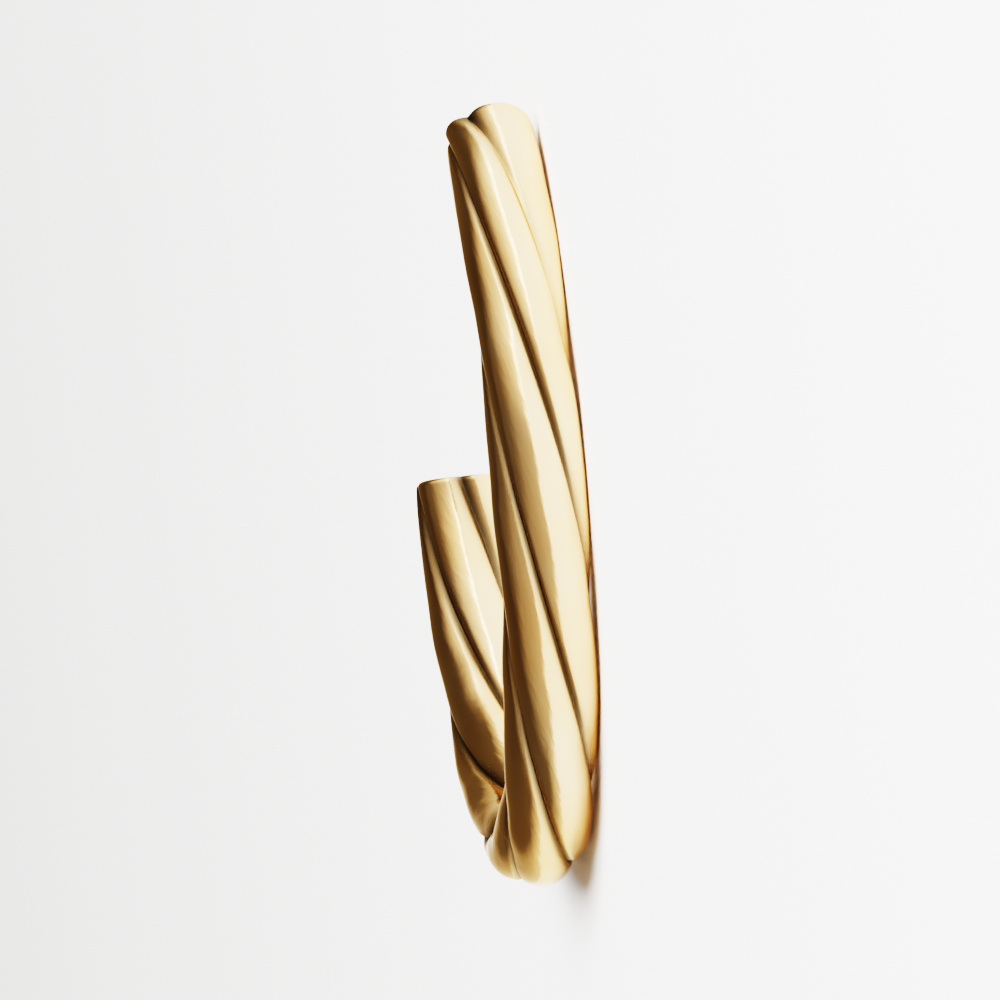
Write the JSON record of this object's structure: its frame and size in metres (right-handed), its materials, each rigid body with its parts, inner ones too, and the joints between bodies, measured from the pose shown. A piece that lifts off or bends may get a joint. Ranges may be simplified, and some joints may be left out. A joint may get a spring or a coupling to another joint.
{
  "type": "twisted hoop earring",
  "caption": "Open hoop earring: a gold tube whose smooth lobes twist round it, with square flat ends and a straight post at its front end for a pierced ear.",
  "frame": {"origin": "on the surface that the hoop lies on, under the middle of its box", "axes": "+Z up, square to the hoop's plane; as worn, +X is up and +Y is towards the back of the head, along the post"},
  "size_m": [0.0296, 0.034, 0.0037],
  "materials": {
    "hoop_gold": "polished yellow gold plating",
    "post_gold": "plain drawn wire with gold plating"
  },
  "bodies": {
    "root": {"twisted_hoop": "hoop_gold", "ear_post": "post_gold"}
  },
  "joints": []
}
